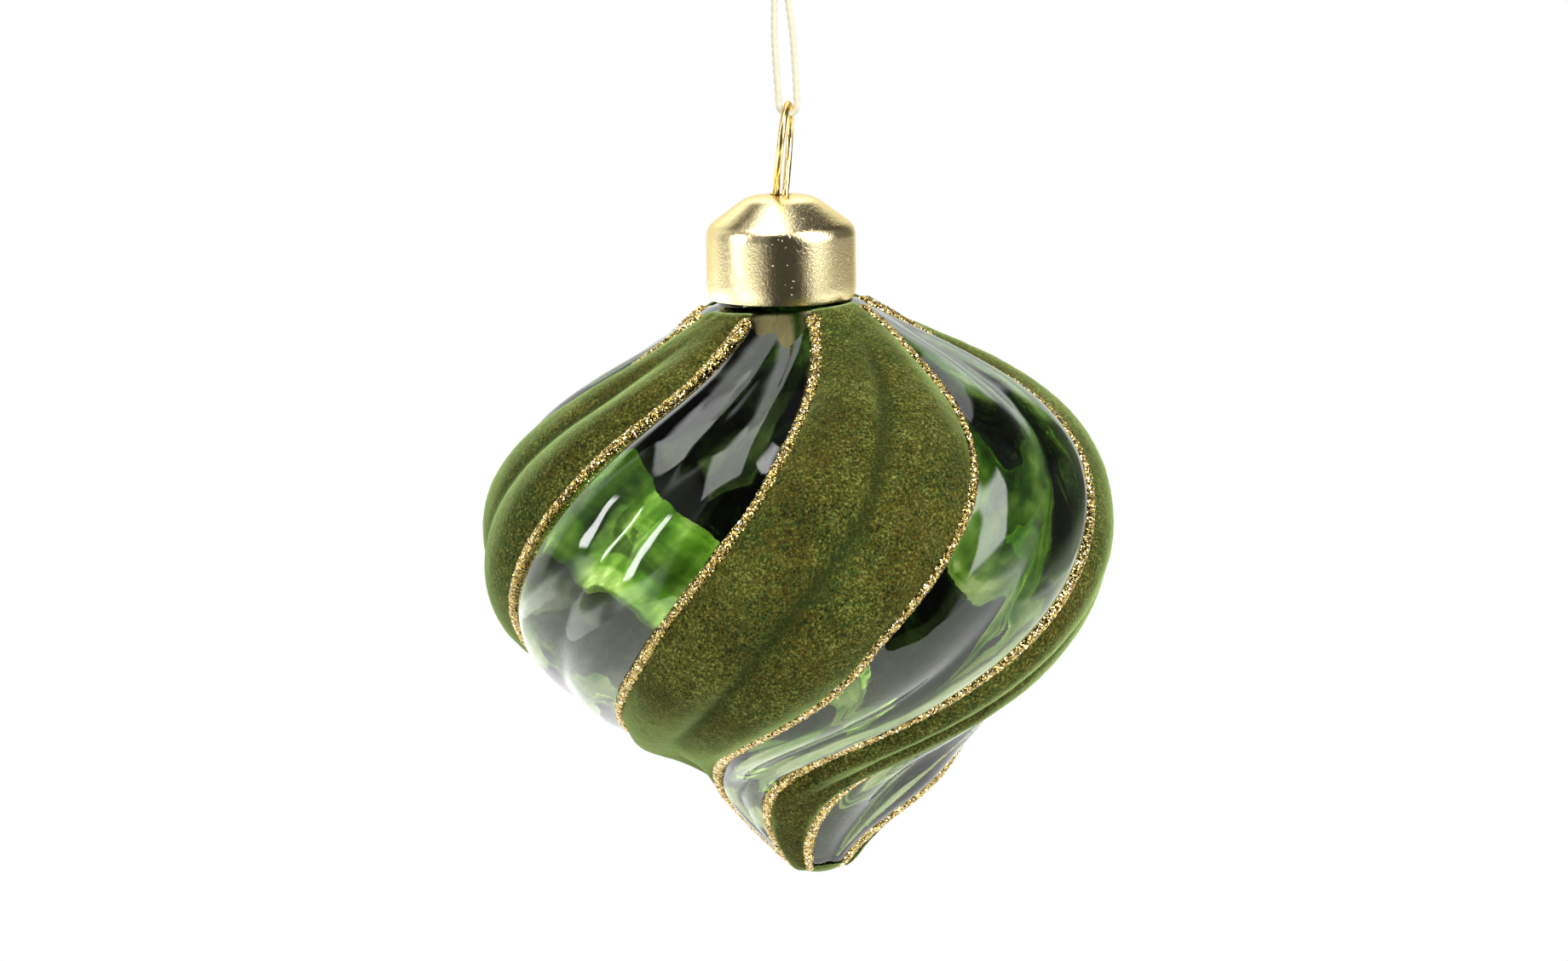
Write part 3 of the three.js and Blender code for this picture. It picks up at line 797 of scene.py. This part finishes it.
# %% [markdown]
# ## Finishes
# Every finish is a small node tree. Shader maths reads best as ordinary sums, so one class wraps
# a socket and lets Python's operators add the Math nodes, and one method adds any other node.

# %% Shader helpers
class Value:
    """A node's output that Python arithmetic can go on with."""

    def __init__(self, tree, socket):
        self.tree, self.socket = tree, socket

    def math(self, operation, *others):
        inputs = dict(enumerate((self, *others)))
        return self.tree.node("ShaderNodeMath", {"operation": operation}, inputs)[0]

    def __add__(self, other):
        return self.math("ADD", other)

    def __sub__(self, other):
        return self.math("SUBTRACT", other)

    def __rsub__(self, other):
        return self.math("MULTIPLY", -1.0).math("ADD", other)

    def __mul__(self, other):
        return self.math("MULTIPLY", other)

    __radd__, __rmul__ = __add__, __mul__

    def window(self, low, high, soft):
        """1 between low and high and 0 outside, with soft edges."""
        return self.ramp(low - soft, low + soft) * (1 - self.ramp(high - soft, high + soft))

    def ramp(self, low, high):
        """0 below low and 1 above high, smooth between."""
        return self.tree.node(
            "ShaderNodeMapRange", {"interpolation_type": "SMOOTHSTEP"},
            {"Value": self, "From Min": low, "From Max": high},
        )["Result"]


class Tree:
    """A node tree. node() adds a node: its type, its settings and what feeds its sockets."""

    def __init__(self, tree):
        self.tree = tree
        tree.nodes.clear()

    def node(self, kind, settings=None, inputs=None):
        made = self.tree.nodes.new(kind)
        for name, value in (settings or {}).items():
            if name == "stops":
                self.set_stops(made.color_ramp, value)
            else:
                setattr(made, name, value)
        for name, value in (inputs or {}).items():
            if isinstance(value, Value):
                self.tree.links.new(value.socket, made.inputs[name])
            else:
                made.inputs[name].default_value = value
        return Outputs(self, made)

    def set_stops(self, ramp, stops):
        for extra, (place, colour) in zip([*ramp.elements], stops[:2]):
            extra.position, extra.color = place, (*colour, 1)
        for place, colour in stops[2:]:
            ramp.elements.new(place).color = (*colour, 1)

    def mix(self, share, first, second):
        """A colour between two colours."""
        first, second = (c if isinstance(c, Value) else (*c, 1) for c in (first, second))
        return self.node(
            "ShaderNodeMix", {"data_type": "RGBA"}, {0: share, 6: first, 7: second}
        )[2]

    def noise(self, scale, detail=2.0, roughness=0.5, at=None):
        inputs = {"Scale": scale, "Detail": detail, "Roughness": roughness}
        inputs["Vector"] = at or self.place()
        return self.node("ShaderNodeTexNoise", None, inputs)

    def place(self):
        return self.node("ShaderNodeTexCoord")["Object"]

    def noted(self, name):
        """What a piece's mesh keeps under this name, as a number or a vector."""
        return self.node("ShaderNodeAttribute", {"attribute_name": name})

    def bump(self, height, strength, distance):
        inputs = {"Height": height, "Strength": strength, "Distance": distance * MM}
        return self.node("ShaderNodeBump", None, inputs)["Normal"]


class Outputs:
    """The outputs of a node, each as a Value."""

    def __init__(self, tree, made):
        self.tree, self.made = tree, made

    def __getitem__(self, name):
        return Value(self.tree, self.made.outputs[name])


def finish(name, pieces, sockets, build):
    """A Principled material for the pieces. Build gets the tree and returns what feeds it."""
    material = bpy.data.materials.new(name)
    material.use_nodes = True
    tree = Tree(material.node_tree)
    shader = tree.node("ShaderNodeBsdfPrincipled", None, {**sockets, **build(tree)})
    tree.node("ShaderNodeOutputMaterial", None, {"Surface": shader["BSDF"]})
    for piece in pieces:
        piece.data.materials.clear()
        piece.data.materials.append(material)
    print("finish", name, "on", len(pieces), "pieces")


# %% [markdown]
# ### Glass
# Bottle-green, clear and glossy. The colour is in the glass, so light that passes both walls
# comes out a strong green, while a flocked band behind leaves it nearly black. The tint is
# uneven, in patches drawn out along the flutes, and paler towards the tip. A faint swell bends
# the reflections, as on blown glass.

# %% Green glass
def green_glass(tree):
    flutes = tree.noted("along_flute")["Vector"]
    place = tree.node("ShaderNodeSeparateXYZ", None, {"Vector": flutes})
    run, across = place["X"], place["Y"]
    flutes = tree.node("ShaderNodeVectorMath", {"operation": "MULTIPLY"},
                       {0: flutes, 1: (0.55, 1.0, 1.0)})["Vector"]
    stains = tree.noise(0.22, 6, 0.62, flutes)["Fac"]
    stains = stains + run.ramp(8, 34) * 0.13 + run.ramp(34, 56) * 0.11 + run.ramp(58, 80) * 0.06
    stains = stains + across.ramp(120, 170) * 0.03 - 0.21
    colour = tree.node("ShaderNodeValToRGB", {"stops": [
        (0.3, (0.04, 0.085, 0.018)),
        (0.62, (0.5, 0.59, 0.32)),
        (0.41, (0.14, 0.25, 0.05)),
        (0.48, (0.19, 0.32, 0.065)),
        (0.55, (0.3, 0.42, 0.15)),
    ]}, {"Fac": stains})["Color"]
    swells = tree.noise(300, 0, 0.5)["Fac"]
    return {"Base Color": colour, "Normal": tree.bump(swells, 0.25, 0.14)}


finish(
    "green_glass", [glass],
    {"Roughness": 0.01, "IOR": 1.5, "Transmission Weight": 1.0},
    green_glass,
)

# %% [markdown]
# ### Flock
# Moss green fibres over a brown glue. Each tuft lies its own way and catches the light
# differently, which shows as a fine grain, and larger patches are browner or greener. Sheen
# pales it towards its edges, as on velvet, and a painted sheen in the colour pales them more.
# The colour is also darker in the crease between the two lobes, which is painted shade.

# %% Green flock
def green_flock(tree):
    grain = tree.node("ShaderNodeTexNoise", None, {
        "Vector": tree.place(), "Scale": 3000, "Detail": 3, "Roughness": 0.7, "Distortion": 0.35,
    })["Fac"]
    tufts = tree.noise(900, 3, 0.65)["Fac"]
    patches = tree.noise(110, 3, 0.6)["Fac"]
    tone = grain * 0.66 + tufts * 0.16 + patches * 0.18
    colour = tree.node("ShaderNodeValToRGB", {"stops": [
        (0.4, (0.008, 0.01, 0.003)),
        (0.63, (0.31, 0.335, 0.08)),
        (0.47, (0.03, 0.035, 0.006)),
        (0.54, (0.09, 0.102, 0.016)),
    ]}, {"Fac": tone})["Color"]
    cool = tree.noise(1900, 2, 0.6)["Fac"].ramp(0.46, 0.66)
    warm = tree.noise(2300, 2, 0.6)["Fac"].ramp(0.46, 0.66)
    greener = tree.noise(50, 2, 0.5)["Fac"].ramp(0.44, 0.6)
    colour = tree.mix(cool * (0.2 + greener * 0.5), colour, (0.025, 0.075, 0.018))
    colour = tree.mix(warm * (0.6 - greener * 0.35), colour, (0.1, 0.06, 0.008))
    brown = tree.noise(75, 3, 0.6)["Fac"].ramp(0.46, 0.62)
    colour = tree.mix(brown * tufts.ramp(0.4, 0.6) * 0.4, colour, (0.085, 0.06, 0.01))
    # Painted shade: the flock is darker in the crease between the two lobes.
    colour = tree.mix(tree.noted("groove")["Fac"] * 0.72, colour, (0.02, 0.03, 0.006))
    # Painted sheen: the colour turns pale green where the surface is seen edge-on, on top of the
    # shader's own sheen.
    edge = tree.node("ShaderNodeLayerWeight", None, {"Blend": 0.5})["Facing"].ramp(0.42, 1.0)
    colour = tree.mix(edge * 0.6, colour, (0.32, 0.41, 0.13))
    fibres = tree.noted("fibres")["Fac"].ramp(0.1, 0.4)
    colour = tree.mix(fibres, (0.012, 0.014, 0.006), colour)
    return {"Base Color": colour, "Normal": tree.bump((grain + tufts) * fibres, 0.8, 0.12)}


finish(
    "green_flock", flock,
    {"Roughness": 0.95, "Specular IOR Level": 0.1, "Sheen Weight": 1.0, "Sheen Roughness": 0.27,
     "Sheen Tint": (0.7, 1.0, 0.36, 1)},
    green_flock,
)

# %% [markdown]
# ### Glitter
# Bright metal flakes in clear glue. Each Voronoi cell stands for one flake, with its own shade of
# gold, its own gloss and its own tilt, which bends the normal.

# %% Gold glitter
def gold_glitter(tree):
    cells = tree.node("ShaderNodeTexVoronoi", None, {"Vector": tree.place(), "Scale": 5200})
    shade = tree.node("ShaderNodeSeparateColor", None, {"Color": cells["Color"]})
    gold = tree.node("ShaderNodeValToRGB", {"stops": [
        (0.0, (0.15, 0.1, 0.02)),
        (1.0, (0.98, 0.92, 0.7)),
        (0.42, (0.38, 0.27, 0.07)),
        (0.78, (0.66, 0.5, 0.18)),
    ]}, {"Fac": shade["Red"]})["Color"]
    tilt = tree.node("ShaderNodeVectorMath", {"operation": "SUBTRACT"},
                     {0: cells["Color"], 1: (0.5, 0.5, 0.5)})["Vector"]
    tilt = tree.node("ShaderNodeVectorMath", {"operation": "SCALE"},
                     {0: tilt, "Scale": 1.35})["Vector"]
    flat = tree.node("ShaderNodeNewGeometry")["Normal"]
    bent = tree.node("ShaderNodeVectorMath", {"operation": "ADD"}, {0: flat, 1: tilt})["Vector"]
    bent = tree.node("ShaderNodeVectorMath", {"operation": "NORMALIZE"}, {0: bent})["Vector"]
    return {"Base Color": gold, "Roughness": shade["Green"] * 0.25 + 0.1, "Normal": bent}


finish("gold_glitter", glitter, {"Metallic": 1.0}, gold_glitter)

# %% [markdown]
# ### Metals
# The cap has a satin champagne gold skin with a fine grain and tiny pits, so a lamp's reflection
# has a soft, grainy edge. The wire is the same gold, drawn and polished.

# %% Satin gold
def satin_gold(tree):
    grain = tree.noise(3200, 3, 0.65)["Fac"]
    cloud = tree.noise(240, 3, 0.55)["Fac"]
    pits = tree.noise(2300, 1, 0.5)["Fac"].ramp(0.72, 0.77)
    colour = tree.mix(cloud.ramp(0.35, 0.7) * 0.5, (0.86, 0.74, 0.43), (0.77, 0.63, 0.31))
    colour = tree.mix(pits * 0.6, colour, (0.95, 0.88, 0.66))
    return {
        "Base Color": colour,
        "Roughness": cloud * 0.1 + 0.15,
        "Normal": tree.bump(grain + pits, 0.85, 0.05),
    }


finish("satin_gold", [cap], {"Metallic": 1.0, "Specular Tint": (0.9, 0.82, 0.55, 1)}, satin_gold)

# %% Polished gold
def polished_gold(tree):
    cloud = tree.noise(700, 2, 0.5)["Fac"]
    return {
        "Base Color": tree.mix(cloud.ramp(0.4, 0.7) * 0.4, (0.78, 0.6, 0.27), (0.66, 0.47, 0.17)),
        "Roughness": cloud * 0.08 + 0.2,
    }


finish("polished_gold", [wire], {"Metallic": 1.0, "Specular Tint": (0.75, 0.55, 0.25, 1)}, polished_gold)

# %% [markdown]
# ### Thread
# Matt cream cotton. Fine fibres all over it are a little lighter or darker, and lift the skin.

# %% Cream thread
def cream_thread(tree):
    fibres = tree.noise(5200, 3, 0.7)["Fac"]
    colour = tree.mix(fibres.ramp(0.3, 0.7), (0.8, 0.73, 0.54), (0.88, 0.83, 0.65))
    return {"Base Color": colour, "Normal": tree.bump(fibres, 0.12, 0.04)}


finish(
    "cream_thread", [thread, knot],
    {"Roughness": 0.8, "Specular IOR Level": 0.2, "Sheen Weight": 0.25, "Sheen Roughness": 0.5},
    cream_thread,
)

# %% [markdown]
# ## Studio
# The ornament hangs in a white cove. The world is that studio: white all round, with a tall soft
# box to the right, a narrow strip light to the left, a light above and a lit backdrop. The dark
# room behind the camera and black flags at the sides give glass and metal their dark edges. A
# later panel covers the earlier ones. Matt surfaces get an even light, and the camera sees plain
# white.

# %% World
world = bpy.data.worlds.new("studio")
bpy.context.scene.world = world
world.use_nodes = True
room = Tree(world.node_tree)
direction = room.node("ShaderNodeTexCoord")["Generated"]
parts = room.node("ShaderNodeSeparateXYZ", None, {"Vector": direction})
azimuth = parts["X"].math("ARCTAN2", parts["Y"] * -1.0) * (180 / pi)
height = parts["Z"].math("ARCSINE") * (180 / pi)


def panel(strength, low, high, bottom, top, soft=3.0, soft_height=4.0):
    """A lit or dark panel of the studio, by azimuth from the camera and by height, in degrees."""
    return strength, azimuth.window(low, high, soft) * height.window(bottom, top, soft_height)


overhead = parts["X"].window(-0.42, 0.13, 0.02) * parts["Y"].window(-0.5, 0.3, 0.02)
behind = azimuth.math("ABSOLUTE").ramp(146, 154)
lit_floor = [
    panel(3.4, -190, -85, -100, -10, 6, 3),
    panel(1.4, -90, -38, -100, -10, 6, 6),
    panel(1.5, 40, 75, -100, -18, 6, 6),
    panel(2.4, 70, 150, -100, -18, 8, 6),
]
dim_sides = [
    panel(0.7, 56, 152, -20, -4, 6, 4),
    panel(0.3, -108, -30, -6, 62, 6, 6),
    panel(3.0, -74, -44, -24, -6, 6, 3),
    panel(0.16, 76, 152, -8, 66, 4, 6),
]
dark_room = [panel(0.05, -29, 46, -56, 66, 5, 8), (0.12, height.ramp(54, 62))]
soft_boxes = [
    panel(8.0, 43, 77, 3, 58, 2, 3),
    panel(17.0, -75, -67, 2, 40, 1, 2),
    (4.4, overhead * height.ramp(20, 30)),
]
backdrop = [(2.3, behind * height.window(24, 82, 4))]
black_flags = [panel(0.05, -160, -116, 40, 70, 5, 5), panel(0.06, 116, 151, 24, 70, 4, 5)]
panels = [*lit_floor, *dim_sides, *dark_room, *soft_boxes, *backdrop, *black_flags]
studio = 1.15
for strength, mask in panels:
    studio = studio + mask * (strength - studio)
rays = room.node("ShaderNodeLightPath")
mirrored = rays["Is Glossy Ray"].math("MAXIMUM", rays["Is Transmission Ray"])
seen = rays["Is Camera Ray"]
matt = parts["Z"] * 0.3 + parts["X"] * -0.03 + parts["Y"] * -0.1 + 0.68
strength = seen + (1 - seen) * (mirrored * studio + (1 - mirrored) * matt)
background = room.node("ShaderNodeBackground", None, {"Color": (1, 1, 1, 1), "Strength": strength})
room.node("ShaderNodeOutputWorld", None, {"Surface": background["Background"]})
print("world ready")

# %% [markdown]
# A lamp above and to the right of the camera gives the matt surfaces a soft direction. It doesn't
# show in reflections, because the panels of the world already stand for the soft boxes. The
# floor of the cove lies far below and is white where the camera, glass or metal sees it.

# %% Lamp and floor
bpy.ops.object.light_add(type="AREA", location=(0.34, -0.62, 0.36))
lamp = bpy.context.object
lamp.name = "soft_lamp"
lamp.data.size = 0.6
lamp.data.energy = 4.2
lamp.rotation_mode = "QUATERNION"
lamp.rotation_quaternion = (aim - lamp.location).to_track_quat("-Z", "Y")
lamp.visible_glossy = False
lamp.visible_transmission = False

bpy.ops.mesh.primitive_plane_add(size=1.6, location=(0, 0.35, -0.45))
floor = bpy.context.object
floor.name = "floor"
white = bpy.data.materials.new("white_floor")
white.use_nodes = True
cove = Tree(white.node_tree)
rays = cove.node("ShaderNodeLightPath")
shown = rays["Is Camera Ray"].math("MAXIMUM", rays["Is Glossy Ray"]).math(
    "MAXIMUM", rays["Is Transmission Ray"])
matt_white = cove.node("ShaderNodeBsdfDiffuse", None, {"Color": (0.8, 0.8, 0.8, 1)})
reflected = rays["Is Glossy Ray"] * (1 - rays["Is Transmission Ray"])
lit_white = cove.node(
    "ShaderNodeEmission", None, {"Color": (1, 1, 1, 1), "Strength": reflected + 1}
)
both = cove.node(
    "ShaderNodeMixShader", None, {0: shown, 1: matt_white["BSDF"], 2: lit_white["Emission"]}
)
cove.node("ShaderNodeOutputMaterial", None, {"Surface": both["Shader"]})
floor.data.materials.append(white)
print("lamp and floor ready")

# %% [markdown]
# ## Finish
# The view transform is the plain one, so that a colour renders as it is written. The dressed
# ornament keeps to the CAD's boxes, apart from the knot's tails.

# %% Finish
bpy.context.scene.view_settings.view_transform = "Standard"
bpy.ops.object.select_all(action="DESELECT")
